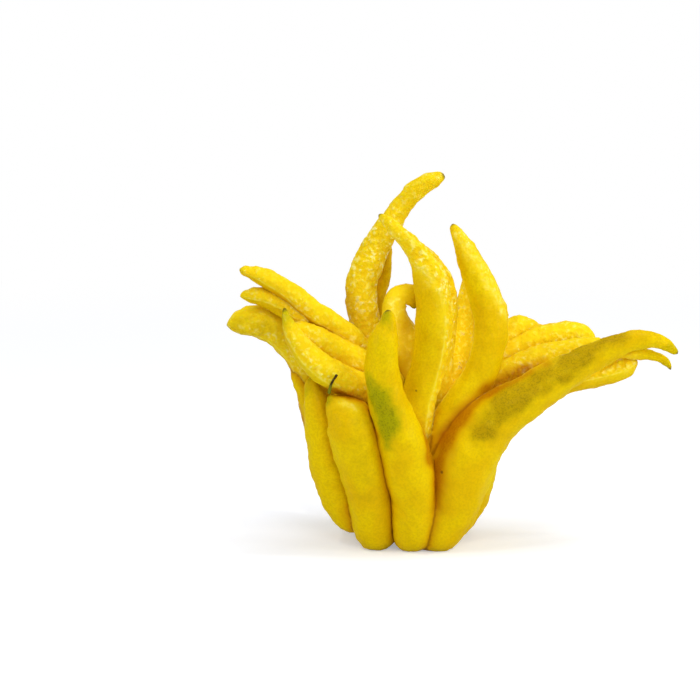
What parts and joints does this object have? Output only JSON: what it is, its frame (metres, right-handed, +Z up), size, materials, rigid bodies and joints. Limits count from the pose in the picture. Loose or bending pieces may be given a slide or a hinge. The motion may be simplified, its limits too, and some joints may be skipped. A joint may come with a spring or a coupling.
{
  "type": "buddhas hand citron",
  "caption": "Whole Buddha's hand citron: a yellow citrus fruit whose palm splits into long curling fingers, standing upright on the rounded heels of its outer fingers.",
  "frame": {"origin": "on the surface that the fruit stands on, under the centre of its bounding box", "axes": "+X to the right of the fruit's front, along its longest spread; +Y to its back; +Z up, from the heels to the finger tips"},
  "size_m": [0.224, 0.1192, 0.1865],
  "materials": {
    "rind": "waxy yellow rind, finely pitted with oil glands, with olive green patches",
    "calyx": "dry, matt, green going brown",
    "stalk_wood": "woody, rough at the cut",
    "dry_style": "dry, dark green to brown"
  },
  "bodies": {
    "root": {"fruit": "rind", "calyx": "calyx", "cut_stalk": "stalk_wood", "dried_style": "dry_style"}
  },
  "joints": []
}
